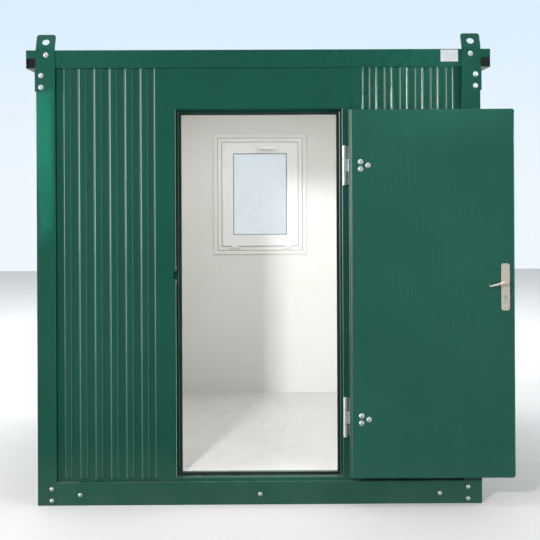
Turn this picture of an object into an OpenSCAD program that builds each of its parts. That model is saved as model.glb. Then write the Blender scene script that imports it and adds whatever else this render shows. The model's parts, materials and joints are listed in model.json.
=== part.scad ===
// Portable site cabin: a bolted steel frame, ribbed insulated panels, one door and one window.
// Millimetres. The origin is the centre of the base on the ground, the front faces -Y, +Z is up.

/* [Cabin] */
// Width over the corner posts
cabin_w = 2100; // [1900:10:2600]
// Depth over the corner posts
cabin_d = 2170; // [1900:10:3200]
// Height from the ground to the top of the steel frame
cabin_h = 2150; // [1800:10:2600]

/* [Steel frame] */
// Face width of a corner post
post_w = 90; // [80:1:120]
// Lap of a post's folded lip behind the valleys of the wall ribs
post_lap = 8; // [4:1:16]
// Steel thickness of the frame sections
frame_t = 4; // [3:0.5:6]
// Height of the base beams
sill_h = 108; // [90:1:150]
// Bearing of the floor deck on the base beams
deck_bearing = 6; // [4:1:20]
// Height of the top beams
head_h = 86; // [76:1:120]
// Gap between the top beams' flanges and the linings
head_clear = 2; // [1:1:6]

/* [Eaves rails] */
// Projection of an eaves rail beyond the side of the cabin
eaves_out = 47; // [30:1:70]
// Height of the open box cell along the bottom of an eaves rail
eaves_cell = 44; // [30:1:55]
// Steel thickness of an eaves rail
eaves_t = 2.5; // [2:0.5:4]

/* [Lifting lugs] */
// Plate thickness of a lug
lug_t = 5; // [4:1:12]
// Height of a lug's front leg on the post
lug_leg = 195; // [150:1:260]
// Height of a lug's fold above the top of the frame
lug_rise = 6; // [2:1:15]
// Gap between a lug's side leg and the eaves rail above it
lug_side_gap = 4; // [2:1:10]
// Length of the tongue above the fold
tongue_l = 78; // [70:1:120]
// Backward lean of the tongue in degrees
tongue_lean = 28; // [15:1:45]
// Corner radius at the tip of the tongue
tongue_r = 14; // [8:1:30]
// Diameter of the lifting eye
eye_d = 35; // [25:1:45]
// Distance of the lifting eye from the fold
eye_up = 36; // [32:1:60]

/* [Walls] */
// Set-back of the ribs' crests behind the posts
wall_recess = 12; // [8:1:20]
// Depth of the pressed ribs
rib_depth = 10; // [6:1:14]
// Distance from one rib to the next
rib_pitch = 73; // [60:1:90]
// Width of a rib's flat crest
rib_crest = 30; // [20:1:36]
// Width of a rib's sloping side
rib_slope = 6.5; // [3:0.5:9]
// Thickness of a wall panel behind its ribs
core_t = 40; // [30:1:60]
// Thickness of the white lining boards
lining_t = 12; // [9:1:18]
// Height of the plain strip under the ribs
plinth_h = 16; // [8:1:30]

/* [Floor and roof] */
// Thickness of the floor deck
deck_t = 25; // [18:1:35]
// Width of a floor joist
joist_w = 50; // [40:1:80]
// Number of floor joists on each side of the middle one
joist_pairs = 2; // [1:1:3]
// Thickness of the ceiling board
ceiling_t = 20; // [12:1:24]
// Height of the roof panel's ribs
roof_rib_h = 18; // [8:1:22]
// Distance from one roof rib to the next
roof_pitch = 207; // [150:1:250]
// Width of a roof rib's flat crest
roof_crest = 28; // [20:1:50]
// Width of a roof rib's sloping side
roof_slope = 16; // [8:1:24]
// Gap between the roof ribs and the top of the frame
roof_clear = 4; // [2:1:8]
// Gap round the ceiling and the roof panel inside the frame
roof_gap = 2; // [1:1:5]

/* [Doorway] */
// Width of the flat door set between the ribbed panels
door_set_w = 980; // [920:5:1200]
// Clear width of the doorway
clear_w = 740; // [650:5:800]
// Height of the plain panel between the doorway and the top beam
over_door = 220; // [150:5:400]
// Width of the stop on each side of the doorway
side_stop = 26; // [20:1:40]
// Height of the stop along the top of the doorway
head_stop = 24; // [20:1:40]
// Height of the stop along the threshold
sill_stop = 11; // [10.5:0.5:24]
// Fold along the front edge of the door rebate
rebate_fold = 4; // [2:0.5:6]
// Rise of the threshold above the floor
threshold_rise = 6; // [3:1:15]
// Lap of the threshold over the floor deck
threshold_lap = 12; // [6:1:40]
// Width of the door seal
seal_w = 9.5; // [8:0.5:10]
// Set-back of the door seal from the edge of the clear opening
seal_inset = 1; // [0.5:0.5:2]
// Thickness of the door seal
seal_t = 5; // [4:0.5:6]

/* [Door leaf] */
// Thickness of the door leaf
leaf_t = 40; // [36:1:42]
// Gap between the leaf and the frame at its sides
leaf_side_gap = 9; // [6:0.5:12]
// Gap between the leaf and the frame at its top and bottom
leaf_end_gap = 5.5; // [5:0.5:10]
// Step along the leaf's hinge edge, where its inner tray stops short of its outer one
leaf_step = 10; // [6:1:14]
// Thickness of the outer tray's flange beside that step
leaf_flange_t = 16; // [10:1:24]
// Corner radius of the leaf's free edge
leaf_r = 12; // [4:1:25]

/* [Hinges] */
// Distance of the hinge axis from the edge of the door rebate
axis_side = 9; // [8:0.5:20]
// Distance of the hinge axis in front of the door frame's face
axis_out = 13; // [12.5:0.5:18]
// Diameter of a hinge barrel
barrel_d = 22; // [20:1:24]
// Length of a hinge barrel
barrel_l = 180; // [120:1:240]
// Gap between neighbouring knuckles
knuckle_gap = 1; // [0.5:0.25:2]
// Diameter of a hinge pin
pin_d = 12; // [8:0.5:14]
// Radial clearance of a hinge pin
pin_clear = 0.1; // [0.05:0.05:0.3]
// Height of the cap on each end of a pin
pin_cap = 4; // [2:1:8]
// Distance of the lower hinge's middle above the leaf's bottom edge
hinge_low_up = 277; // [150:1:400]
// Distance of the upper hinge's middle below the leaf's top edge
hinge_high_down = 262; // [150:1:400]
// Length of a strap along the leaf, from the hinge axis
strap_l = 128; // [100:1:200]
// Thickness of a strap
strap_t = 5; // [4:0.5:6]
// Gap between a strap's neck and the door frame
neck_gap = 2.5; // [1.5:0.5:3]
// Thickness of a hinge's frame plate
plate_t = 4; // [3:0.5:5]
// Width of a hinge's frame plate
plate_w = 60; // [40:1:70]

/* [Lock and handles] */
// Distance of the spindle and the key cylinder from the leaf's free edge
backset = 45; // [35:1:60]
// Height of the lever spindle above the floor
spindle_up = 920; // [800:1:1050]
// Diameter of the spindle
spindle_d = 9; // [8:0.5:10]
// Distance of the key cylinder below the spindle
cylinder_drop = 70; // [60:1:92]
// Diameter of the key cylinder
cylinder_d = 17; // [15:0.5:20]
// Width of the key cylinder's tail
tail_w = 10; // [8:0.5:12]
// Drop of the tail's round end below the middle of the cylinder
tail_drop = 20; // [16:0.5:24]
// Projection of the key cylinder from its plate
cylinder_out = 3; // [1:0.5:6]
// Width of an escutcheon plate
escutcheon_w = 39; // [30:1:45]
// Height of an escutcheon plate
escutcheon_h = 220; // [180:1:260]
// Thickness of an escutcheon plate
escutcheon_t = 8; // [5:0.5:12]
// Corner chamfer of an escutcheon plate
escutcheon_c = 7; // [3:1:12]
// Distance of the escutcheon's top above the spindle
escutcheon_up = 85; // [50:1:110]
// Diameter of a lever's neck
neck_d = 16; // [14:0.5:20]
// Radial clearance of a lever's neck in its escutcheon
neck_clear = 0.15; // [0.1:0.05:0.3]
// Distance from an escutcheon to the middle of its lever
lever_out = 38; // [30:1:50]
// Diameter of the lever bar at its neck
lever_root_d = 13; // [10:0.5:15]
// Diameter of the lever bar at its end
lever_d = 7; // [6:0.5:10]
// Length of the lever from the spindle
lever_l = 78; // [60:1:90]
// Diameter of the lever's returned end
lever_end_d = 8.5; // [8:0.5:12]
// Length of the lever's end turned back towards the leaf
lever_return = 28; // [6:1:30]
// Downward slope of the lever at rest in degrees
lever_slope = 13; // [0:1:20]
// Least clearance of the outer lever from the wall with the door open
handle_clear = 10; // [5:1:20]
// Distance of the latch bolt above the spindle
latch_up = 30; // [20:1:50]
// Height of the latch bolt
latch_h = 22; // [16:1:26]
// Thickness of the latch bolt
latch_w = 12; // [8:0.5:14]
// Projection of the latch bolt from the leaf
latch_out = 12; // [10:0.5:14]
// Length of the latch bolt inside the leaf
latch_in = 22; // [16:1:28]
// Travel of the latch bolt
latch_travel = 12; // [8:0.5:14]
// Clearance round the latch bolt in the leaf
latch_clear = 0.4; // [0.3:0.1:0.8]
// Clearance round the latch bolt in the keep of the door frame
keep_clear = 8; // [6:1:12]

/* [Window] */
// Width of the window frame
window_w = 557; // [450:1:900]
// Height of the window frame
window_h = 740; // [600:1:900]
// Distance of the window frame's top edge below the ceiling
window_drop = 257; // [150:1:400]
// Width of the trim on the wall round the window frame
trim_w = 27; // [15:1:40]
// Thickness of the trim on the wall
trim_t = 8; // [5:1:12]
// Face width of the window frame's profile
frame_w = 35; // [30:1:50]
// Gap between the sash and the window frame
sash_gap = 4; // [3:0.5:6]
// Lap of the sash over the window frame
sash_lap = 6; // [4:0.5:10]
// Thickness of the sash's lap
sash_lap_t = 10; // [8:1:16]
// Face width of the sash's profile
sash_w = 73; // [60:1:85]
// Depth of the sash inside the frame
sash_depth = 45; // [38:1:52]
// Thickness of the sash's inner lip that holds the glass
sash_lip = 10; // [6:1:14]
// Bearing of the glass on the sash
glass_bearing = 10; // [6:1:16]
// Gap round the edge of the glass
glass_gap = 2; // [1:0.5:4]
// Thickness of the sealed glass unit
glass_t = 20; // [16:1:24]
// Depth of the stop at the outer side of the window frame
frame_stop = 18; // [12:1:22]
// Projection of the outer window sill
outer_sill = 38; // [20:1:60]
// Thickness of the outer window sill
outer_sill_t = 14; // [8:1:24]
// Length of the window lever
window_lever_l = 118; // [90:1:150]
// Width of the window lever and its plate
window_lever_w = 28; // [20:1:36]
// Width of the window lever's grip
window_grip_w = 18; // [14:1:24]
// Distance of the window lever in front of its plate
window_lever_out = 34; // [28:1:45]

/* [Hidden] */
$fn = 48;

// Colours
green = [0.05, 0.25, 0.17];
white = [0.90, 0.90, 0.88];
pale_floor = [0.80, 0.80, 0.78];
zinc = [0.72, 0.73, 0.74];
steel = [0.66, 0.63, 0.58];
black = [0.06, 0.06, 0.06];
glass_blue = [0.70, 0.82, 0.88, 0.4];

// A cut passes this far beyond the faces that it opens
cut = 1;

// Distances of the wall's layers behind the outer plane of the posts
half_w = cabin_w / 2;
half_d = cabin_d / 2;
valley_in = wall_recess + rib_depth;
core_in = valley_in + core_t;
wall_in = core_in + lining_t;

// Frame sections
post_lip = valley_in + post_lap;
sill_flange = wall_in + deck_bearing;
head_flange = core_in - head_clear;
front_span = cabin_w - 2 * post_w;
side_span = cabin_d - 2 * post_w;
head_z = cabin_h - head_h;
ceiling_z = head_z + frame_t;
roof_z = ceiling_z + ceiling_t;
roof_t = head_h - 2 * frame_t - ceiling_t - roof_rib_h - roof_clear;
floor_z = sill_h + deck_t;
fold_z = cabin_h + lug_rise;
wall_h = head_z - sill_h;
lining_h = ceiling_z - sill_h;
panel_w = (front_span - door_set_w) / 2;
joist_step = (cabin_d - 2 * sill_flange - joist_w) / (2 * joist_pairs + 2);

// Doorway
frame_y = -half_d + wall_recess;
stop_y = -half_d + core_in;
inner_y = -half_d + wall_in;
clear_z0 = floor_z + threshold_rise;
clear_z1 = head_z - over_door;
clear_h = clear_z1 - clear_z0;
rebate_z0 = clear_z0 - sill_stop;
rebate_z1 = clear_z1 + head_stop;
rebate_x = clear_w / 2 + side_stop;

// Door leaf, drawn closed and then swung open about the hinge axis
leaf_x = rebate_x - leaf_side_gap;
leaf_z0 = rebate_z0 + leaf_end_gap;
leaf_z1 = rebate_z1 - leaf_end_gap;
leaf_in_y = frame_y + leaf_t;
axis_x = rebate_x + axis_side;
axis_y = frame_y - axis_out;
hinge_low_z = leaf_z0 + hinge_low_up;
hinge_high_z = leaf_z1 - hinge_high_down;
knuckle_l = barrel_l / 3;
spindle_x = -leaf_x + backset;
spindle_z = floor_z + spindle_up;
cylinder_z = spindle_z - cylinder_drop;
latch_z = spindle_z + latch_up;
latch_y = frame_y + leaf_t / 2;
lever_face = leaf_t / 2 + escutcheon_t;

// The open leaf lies flat where its outer lever passes the cabin's corner, and else stands off the wall
lever_tip = axis_x - spindle_x - lever_l - lever_end_d / 2;
lever_behind = escutcheon_t + lever_out + neck_d / 2 - 2 * axis_out + wall_recess;
lever_passes = axis_x + lever_tip > half_w + handle_clear;
door_open = lever_passes ? 180 : 180 - asin((lever_behind + handle_clear) / lever_tip);

// Window, in the rear wall
rear_in = half_d - wall_in;
trim_y = rear_in - trim_t;
crest_y = half_d - wall_recess;
window_z = ceiling_z - window_drop - window_h;
window_mid = window_z + window_h / 2;
sash_open_w = window_w - 2 * frame_w;
sash_open_h = window_h - 2 * frame_w;
sash_face_y = trim_y - sash_lap_t;
glass_open_w = sash_open_w + 2 * sash_lap - 2 * sash_w;
glass_open_h = sash_open_h + 2 * sash_lap - 2 * sash_w;

// Turn a piece drawn on the front of the cabin to one of its four sides
module at_side(turn, distance) {
  rotate([0, 0, turn])
    translate([0, -distance, 0])
      children();
}

// Place a piece drawn for the front left corner at any corner
module at_corner(right, rear) {
  turn = right ? (rear ? 180 : 90) : (rear ? -90 : 0);
  translate([right ? half_w : -half_w, rear ? half_d : -half_d, 0])
    rotate([0, 0, turn])
      children();
}

// A folded channel along X, its web on the outer plane and its flanges reaching in
module channel(length, height, flange) {
  translate([-length / 2, 0, 0])
    rotate([90, 0, 90])
      linear_extrude(length)
        polygon([
          [0, 0], [flange, 0], [flange, frame_t], [frame_t, frame_t],
          [frame_t, height - frame_t], [flange, height - frame_t], [flange, height], [0, height]
        ]);
}

// A rectangle with round corners, centred
module rounded_rect(width, height, radius) {
  square([width - 2 * radius, height], center = true);
  square([width, height - 2 * radius], center = true);
  for (sx = [-1, 1], sy = [-1, 1])
    translate([sx * (width / 2 - radius), sy * (height / 2 - radius)])
      circle(radius);
}

// A rectangle with chamfered corners, centred
module chamfered_rect(width, height, chamfer) {
  x = width / 2;
  y = height / 2;
  polygon([
    [x - chamfer, -y], [x, chamfer - y], [x, y - chamfer], [x - chamfer, y],
    [chamfer - x, y], [-x, y - chamfer], [-x, chamfer - y], [chamfer - x, -y]
  ]);
}

// A flat ring standing in the XZ plane, its front face on Y = 0
module upright_ring(outer_w, outer_h, inner_w, inner_h, depth) {
  translate([0, depth, 0])
    rotate([90, 0, 0])
      linear_extrude(depth)
        difference() {
          square([outer_w, outer_h], center = true);
          square([inner_w, inner_h], center = true);
        }
}

// Number of ribs across a panel, and the line of their crests and valleys
function rib_count(length, pitch, valley) = round((length - valley) / pitch);
function rib_line(length, pitch, crest, slope, base, depth) =
  let (foot = crest + 2 * slope, n = rib_count(length, pitch, pitch / 2))
  let (start = (length - (n - 1) * pitch - foot) / 2)
  [for (i = [0 : n - 1])
    let (u = start + i * pitch)
    each [
      [u, base], [u + slope, base + depth],
      [u + foot - slope, base + depth], [u + foot, base]
    ]
  ];

// A ribbed wall panel with its ribs facing out, centred along X
module wall_panel(length) {
  profile = rib_line(length, rib_pitch, rib_crest, rib_slope, core_t, rib_depth);
  translate([-length / 2, core_in, sill_h]) {
    plinth_strip(length);
    translate([0, 0, plinth_h])
      linear_extrude(wall_h - plinth_h)
        mirror([0, 1])
          polygon(concat([[0, 0], [0, core_t]], profile, [[length, core_t], [length, 0]]));
  }
}

// The plain strip below a panel's ribs
module plinth_strip(length) {
  translate([0, -core_t, 0])
    cube([length, core_t, plinth_h]);
}

// Base frame and floor
module front_sill() {
  color(green)
    at_side(0, half_d)
      channel(front_span, sill_h, sill_flange);
}

module rear_sill() {
  color(green)
    at_side(180, half_d)
      channel(front_span, sill_h, sill_flange);
}

module side_sills() {
  color(green)
    for (turn = [-90, 90])
      at_side(turn, half_w)
        channel(side_span, sill_h, sill_flange);
}

module floor_joists() {
  length = cabin_w - 2 * sill_flange;
  color(zinc)
    for (i = [-joist_pairs : joist_pairs])
      translate([-length / 2, i * joist_step - joist_w / 2, 0])
        cube([length, joist_w, sill_h]);
}

module floor_deck() {
  color(pale_floor)
    translate([wall_in - half_w, wall_in - half_d, sill_h])
      cube([cabin_w - 2 * wall_in, cabin_d - 2 * wall_in, deck_t]);
}

// Corner posts: a folded corner section with a lip along each edge and a plate on top
module corner_post() {
  color(green) {
    linear_extrude(cabin_h)
      polygon([
        [0, 0], [post_w, 0], [post_w, post_lip], [post_w - frame_t, post_lip],
        [post_w - frame_t, frame_t], [frame_t, frame_t], [frame_t, post_w - frame_t],
        [post_lip, post_w - frame_t], [post_lip, post_w], [0, post_w]
      ]);
    translate([0, 0, cabin_h - frame_t])
      cube([post_w, post_w, frame_t]);
  }
}

module corner_post_front_left() {
  at_corner(false, false) corner_post();
}

module corner_post_front_right() {
  at_corner(true, false) corner_post();
}

module corner_post_rear_left() {
  at_corner(false, true) corner_post();
}

module corner_post_rear_right() {
  at_corner(true, true) corner_post();
}

// Top frame
module head_beam(turn, distance, length) {
  color(green)
    at_side(turn, distance)
      translate([0, 0, head_z])
        channel(length, head_h, head_flange);
}

module front_head_beam() {
  head_beam(0, half_d, front_span);
}

module rear_head_beam() {
  head_beam(180, half_d, front_span);
}

module side_head_beams() {
  head_beam(-90, half_w, side_span);
  head_beam(90, half_w, side_span);
}

// Eaves rail: an open box cell below a capped one that the top beam closes
module eaves_rail() {
  upper_z = 2 * eaves_t + eaves_cell;
  color(green)
    translate([-half_d, -eaves_out, head_z])
      difference() {
        cube([cabin_d, eaves_out, head_h]);
        translate([-cut, eaves_t, eaves_t])
          cube([cabin_d + 2 * cut, eaves_out - 2 * eaves_t, eaves_cell]);
        translate([eaves_t, eaves_t, upper_z])
          cube([cabin_d - 2 * eaves_t, eaves_out - eaves_t + cut, head_h - upper_z - eaves_t]);
      }
}

module left_eaves_rail() {
  at_side(-90, half_w) eaves_rail();
}

module right_eaves_rail() {
  at_side(90, half_w) eaves_rail();
}

// Lifting lug: an angle bolted round the post, with a tongue folded back over the frame
function lug_section(leg_z) =
  let (fold_steps = 4, up = [sin(tongue_lean), cos(tongue_lean)], out = [-cos(tongue_lean), sin(tongue_lean)])
  concat(
    [[0, leg_z - fold_z], [-lug_t, leg_z - fold_z]],
    [for (i = [0 : fold_steps])
      lug_t * [-cos(i * tongue_lean / fold_steps), sin(i * tongue_lean / fold_steps)]],
    [lug_t * out + tongue_l * up, tongue_l * up, [0, 0]]
  );

// What is cut from the tongue: the eye and the two square corners of its tip
module tongue_cuts() {
  rotate([-tongue_lean, 0, 0])
    translate([0, cut, 0])
      rotate([90, 0, 0]) {
        translate([post_w / 2, eye_up, 0])
          cylinder(d = eye_d, h = lug_t + 2 * cut);
        for (side = [0, 1])
          translate([side * post_w, tongue_l, 0])
            rotate([0, 0, side ? 180 : -90])
              linear_extrude(lug_t + 2 * cut)
                corner_waste(tongue_r);
      }
}

// The waste outside a quarter round, for a corner at the origin with its material at +X and +Y
module corner_waste(radius) {
  difference() {
    translate([-cut, -cut])
      square(radius + cut);
    translate([radius, radius])
      circle(radius);
  }
}

module lug(mirrored) {
  leg_z = cabin_h - lug_leg;
  color(green)
    translate([mirrored ? -post_w : 0, 0, fold_z])
      difference() {
        rotate([90, 0, 90])
          linear_extrude(post_w)
            polygon(lug_section(leg_z));
        tongue_cuts();
      }
  color(green)
    translate([mirrored ? 0 : -lug_t, -lug_t, leg_z])
      cube([lug_t, post_w + lug_t, head_z - lug_side_gap - leg_z]);
}

module lug_front_left() {
  translate([-half_w, -half_d, 0]) lug(false);
}

module lug_front_right() {
  translate([half_w, -half_d, 0]) lug(true);
}

module lug_rear_left() {
  translate([-half_w, half_d, 0]) rotate([0, 0, 180]) lug(true);
}

module lug_rear_right() {
  translate([half_w, half_d, 0]) rotate([0, 0, 180]) lug(false);
}

// The outline inside the top frame, stepped round the corner posts
module top_outline() {
  web = frame_t + roof_gap;
  post = post_w + roof_gap;
  lip = post_lip + roof_gap;
  for (inset = [[web, post], [post, web], [lip, lip]])
    square([cabin_w - 2 * inset[0], cabin_d - 2 * inset[1]], center = true);
}

module ceiling_panel() {
  color(white)
    translate([0, 0, ceiling_z])
      linear_extrude(ceiling_t)
        top_outline();
}

module roof_panel() {
  length = cabin_w - 2 * head_flange - 2 * roof_gap;
  depth = cabin_d - 2 * head_flange - 2 * roof_gap;
  profile = rib_line(depth, roof_pitch, roof_crest, roof_slope, roof_t, roof_rib_h);
  color(green) {
    translate([0, 0, roof_z])
      linear_extrude(roof_t)
        top_outline();
    translate([-length / 2, -depth / 2, roof_z])
      rotate([90, 0, 90])
        linear_extrude(length)
          polygon(concat([[0, 0]], [[0, roof_t]], profile, [[depth, roof_t], [depth, 0]]));
  }
}

// Walls
module front_wall_left() {
  color(green)
    at_side(0, half_d)
      translate([-(door_set_w + panel_w) / 2, 0, 0])
        wall_panel(panel_w);
}

module front_wall_right() {
  color(green)
    at_side(0, half_d)
      translate([(door_set_w + panel_w) / 2, 0, 0])
        wall_panel(panel_w);
}

module left_wall() {
  color(green)
    at_side(-90, half_w)
      wall_panel(side_span);
}

module right_wall() {
  color(green)
    at_side(90, half_w)
      wall_panel(side_span);
}

module window_hole() {
  translate([-window_w / 2, rear_in - cut, window_z])
    cube([window_w, wall_in + 2 * cut, window_h]);
}

module rear_wall() {
  color(green)
    difference() {
      at_side(180, half_d)
        wall_panel(front_span);
      window_hole();
    }
}

// White lining boards, the side ones running past the front and rear ones
module front_lining() {
  width = half_w - wall_in - door_set_w / 2;
  color(white)
    for (x = [wall_in - half_w, door_set_w / 2])
      translate([x, stop_y, sill_h])
        cube([width, lining_t, lining_h]);
}

module side_linings() {
  color(white)
    for (x = [core_in - half_w, half_w - wall_in])
      translate([x, core_in - half_d, sill_h])
        cube([lining_t, cabin_d - 2 * core_in, lining_h]);
}

module rear_lining() {
  color(white)
    difference() {
      translate([wall_in - half_w, rear_in, sill_h])
        cube([cabin_w - 2 * wall_in, lining_t, lining_h]);
      window_hole();
    }
}

// Door set: two rebated jambs, a head and a threshold
module jamb_section() {
  polygon([
    [door_set_w / 2, frame_y], [rebate_x, frame_y], [rebate_x, stop_y],
    [clear_w / 2, stop_y], [clear_w / 2, inner_y], [door_set_w / 2, inner_y]
  ]);
}

// The sloping fold cut along the front edge of a jamb's rebate
module jamb_fold() {
  translate([0, 0, rebate_z0])
    linear_extrude(rebate_z1 + rebate_fold - rebate_z0)
      polygon([
        [rebate_x - cut, frame_y - cut], [rebate_x + rebate_fold + cut, frame_y - cut],
        [rebate_x - cut, frame_y + rebate_fold + cut]
      ]);
}

module door_jamb_right() {
  color(green)
    difference() {
      translate([0, 0, sill_h])
        linear_extrude(wall_h)
          jamb_section();
      jamb_fold();
    }
}

// The left jamb has the keep, an open notch that takes the latch bolt
module door_jamb_left() {
  keep_h = latch_h + 2 * keep_clear;
  keep_in = latch_out - leaf_side_gap + keep_clear;
  color(green)
    difference() {
      translate([0, 0, sill_h])
        linear_extrude(wall_h)
          mirror([1, 0])
            jamb_section();
      mirror([1, 0, 0])
        jamb_fold();
      translate([-rebate_x - keep_in, frame_y - cut, latch_z - keep_h / 2])
        cube([keep_in + cut, leaf_t / 2 + latch_w / 2 + keep_clear + cut, keep_h]);
    }
}

// A rail between the jambs, drawn as its section from front to back
module door_rail(width) {
  translate([-width / 2, 0, 0])
    rotate([90, 0, 90])
      linear_extrude(width)
        children();
}

module door_head() {
  fold_y = frame_y + rebate_fold;
  color(green) {
    door_rail(2 * rebate_x)
      polygon([
        [fold_y, rebate_z1], [stop_y, rebate_z1], [stop_y, head_z],
        [frame_y, head_z], [frame_y, rebate_z1 + rebate_fold]
      ]);
    door_rail(clear_w)
      polygon([
        [fold_y, rebate_z1], [stop_y, rebate_z1], [stop_y, clear_z1],
        [inner_y, clear_z1], [inner_y, head_z], [fold_y, head_z]
      ]);
  }
}

module door_threshold() {
  fold_y = frame_y + rebate_fold;
  color(green) {
    door_rail(2 * rebate_x)
      polygon([
        [frame_y, sill_h], [stop_y, sill_h], [stop_y, rebate_z0],
        [fold_y, rebate_z0], [frame_y, rebate_z0 - rebate_fold]
      ]);
    door_rail(clear_w)
      polygon([
        [fold_y, sill_h], [inner_y, sill_h], [inner_y, floor_z], [inner_y + threshold_lap, floor_z],
        [inner_y + threshold_lap, clear_z0], [stop_y, clear_z0], [stop_y, rebate_z0], [fold_y, rebate_z0]
      ]);
  }
}

module door_seal() {
  inner_w = clear_w + 2 * seal_inset;
  inner_h = clear_h + 2 * seal_inset;
  color(black)
    translate([0, stop_y - seal_t, clear_z0 + clear_h / 2])
      upright_ring(inner_w + 2 * seal_w, inner_h + 2 * seal_w, inner_w, inner_h, seal_t);
}

// Hinges: the frame carries the outer knuckles and the pin, the strap the middle knuckle
module at_hinges() {
  for (z = [hinge_low_z, hinge_high_z])
    translate([axis_x, axis_y, z - barrel_l / 2])
      children();
}

module knuckle_bore() {
  translate([0, 0, -cut])
    cylinder(d = pin_d + 2 * pin_clear, h = barrel_l + 2 * cut);
}

module hinge_plates() {
  plate_x = barrel_d / 2 + neck_gap;
  tab_l = knuckle_l - knuckle_gap;
  color(zinc)
    at_hinges()
      difference() {
        union() {
          translate([plate_x, axis_out - plate_t, 0])
            cube([plate_w - plate_x, plate_t, barrel_l]);
          for (z = [0, barrel_l - tab_l])
            translate([0, 0, z]) {
              cylinder(d = barrel_d, h = tab_l);
              translate([0, axis_out - plate_t, 0])
                cube([plate_x, plate_t, tab_l]);
            }
        }
        knuckle_bore();
      }
}

module hinge_pins() {
  color(zinc)
    at_hinges() {
      cylinder(d = pin_d, h = barrel_l);
      for (z = [-pin_cap, barrel_l])
        translate([0, 0, z])
          cylinder(d = barrel_d, h = pin_cap);
    }
}

// Swing a piece that is drawn on the closed door to the open door
module on_open_door() {
  translate([axis_x, axis_y, 0])
    rotate([0, 0, door_open])
      translate([-axis_x, -axis_y, 0])
        children();
}

module hinge_straps() {
  edge = axis_side + leaf_side_gap;
  color(zinc)
    on_open_door()
      at_hinges()
        difference() {
          translate([0, 0, knuckle_l]) {
            cylinder(d = barrel_d, h = knuckle_l);
            translate([-strap_l, axis_out - strap_t, 0])
              cube([strap_l - edge, strap_t, knuckle_l]);
            translate([-edge, axis_out - strap_t, 0])
              cube([edge, strap_t - neck_gap, knuckle_l]);
          }
          knuckle_bore();
        }
}

// Door leaf with its bores for the spindle and the cylinder and its latch pocket
module leaf_outline() {
  mid_z = (leaf_z0 + leaf_z1) / 2;
  translate([0, mid_z])
    rounded_rect(2 * leaf_x, leaf_z1 - leaf_z0, leaf_r);
  translate([0, leaf_z0])
    square([leaf_x, leaf_z1 - leaf_z0]);
}

module latch_pocket() {
  depth = latch_in + latch_travel + latch_clear;
  translate([-leaf_x - cut, latch_y - latch_w / 2 - latch_clear, latch_z - latch_h / 2 - latch_clear])
    cube([depth + cut, latch_w + 2 * latch_clear, latch_h + 2 * latch_clear]);
}

// An outline carried through the leaf and beyond both of its faces
module through_leaf(x, z, beyond) {
  translate([x, leaf_in_y + beyond, z])
    rotate([90, 0, 0])
      linear_extrude(leaf_t + 2 * beyond)
        children();
}

// Outline of the key cylinder: a round body with a narrower tail below it
module cylinder_outline(clear) {
  tail = tail_w + 2 * clear;
  circle(d = cylinder_d + 2 * clear);
  translate([-tail / 2, -tail_drop])
    square([tail, tail_drop]);
  translate([0, -tail_drop])
    circle(d = tail);
}

// The holes for the lever neck and the key cylinder
module lock_holes(beyond) {
  through_leaf(spindle_x, spindle_z, beyond)
    circle(d = neck_d + 2 * neck_clear);
  through_leaf(spindle_x, cylinder_z, beyond)
    cylinder_outline(neck_clear);
}

module door_leaf() {
  color(green)
    on_open_door()
      difference() {
        translate([0, leaf_in_y, 0])
          rotate([90, 0, 0])
            linear_extrude(leaf_t)
              leaf_outline();
        translate([leaf_x - leaf_step, frame_y + leaf_flange_t, leaf_z0 - cut])
          cube([leaf_step + cut, leaf_t, leaf_z1 - leaf_z0 + 2 * cut]);
        lock_holes(cut);
        latch_pocket();
      }
}

module door_escutcheons() {
  mid_z = spindle_z + escutcheon_up - escutcheon_h / 2;
  color(steel)
    on_open_door()
      difference() {
        for (y = [frame_y, leaf_in_y + escutcheon_t])
          translate([spindle_x, y, mid_z])
            rotate([90, 0, 0])
              linear_extrude(escutcheon_t)
                chamfered_rect(escutcheon_w, escutcheon_h, escutcheon_c);
        lock_holes(escutcheon_t + cut);
      }
}

module lock_cylinder() {
  color(zinc)
    on_open_door()
      through_leaf(spindle_x, cylinder_z, escutcheon_t + cylinder_out)
        cylinder_outline(0);
}

// One lever: a neck through its plate, a tapering bar sloping to the hinge side and a returned end
module lever() {
  translate([0, leaf_t / 2, 0])
    rotate([-90, 0, 0])
      cylinder(d = neck_d, h = escutcheon_t + lever_out + neck_d / 2);
  rotate([0, lever_slope, 0])
    translate([0, lever_face + lever_out, 0]) {
      rotate([0, 90, 0])
        cylinder(d1 = lever_root_d, d2 = lever_d, h = lever_l);
      translate([lever_l, -lever_return, 0])
        rotate([-90, 0, 0])
          cylinder(d = lever_end_d, h = lever_return + lever_end_d / 2);
    }
}

module lever_handles() {
  color(steel)
    on_open_door()
      translate([spindle_x, latch_y, spindle_z]) {
        lever();
        mirror([0, 1, 0]) lever();
        rotate([90, 0, 0])
          cylinder(d = spindle_d, h = leaf_t, center = true);
      }
}

// Latch bolt with a bevelled head
module latch_bolt() {
  color(zinc)
    on_open_door()
      translate([-leaf_x, latch_y, latch_z - latch_h / 2])
        linear_extrude(latch_h)
          polygon([
            [latch_in, -latch_w / 2], [latch_in, latch_w / 2], [0, latch_w / 2],
            [-latch_out, -latch_w / 4], [-latch_out, -latch_w / 2]
          ]);
}

// Window: a frame through the rear wall, a sash lapping its inner face, glass and trims
module at_window(y) {
  translate([0, y, window_mid])
    children();
}

module window_frame() {
  depth = crest_y - trim_y;
  color(white) {
    at_window(trim_y)
      upright_ring(window_w, window_h, sash_open_w, sash_open_h, depth - frame_stop);
    at_window(crest_y - frame_stop)
      upright_ring(
        window_w, window_h,
        sash_open_w - 2 * frame_stop, sash_open_h - 2 * frame_stop, frame_stop
      );
  }
}

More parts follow.
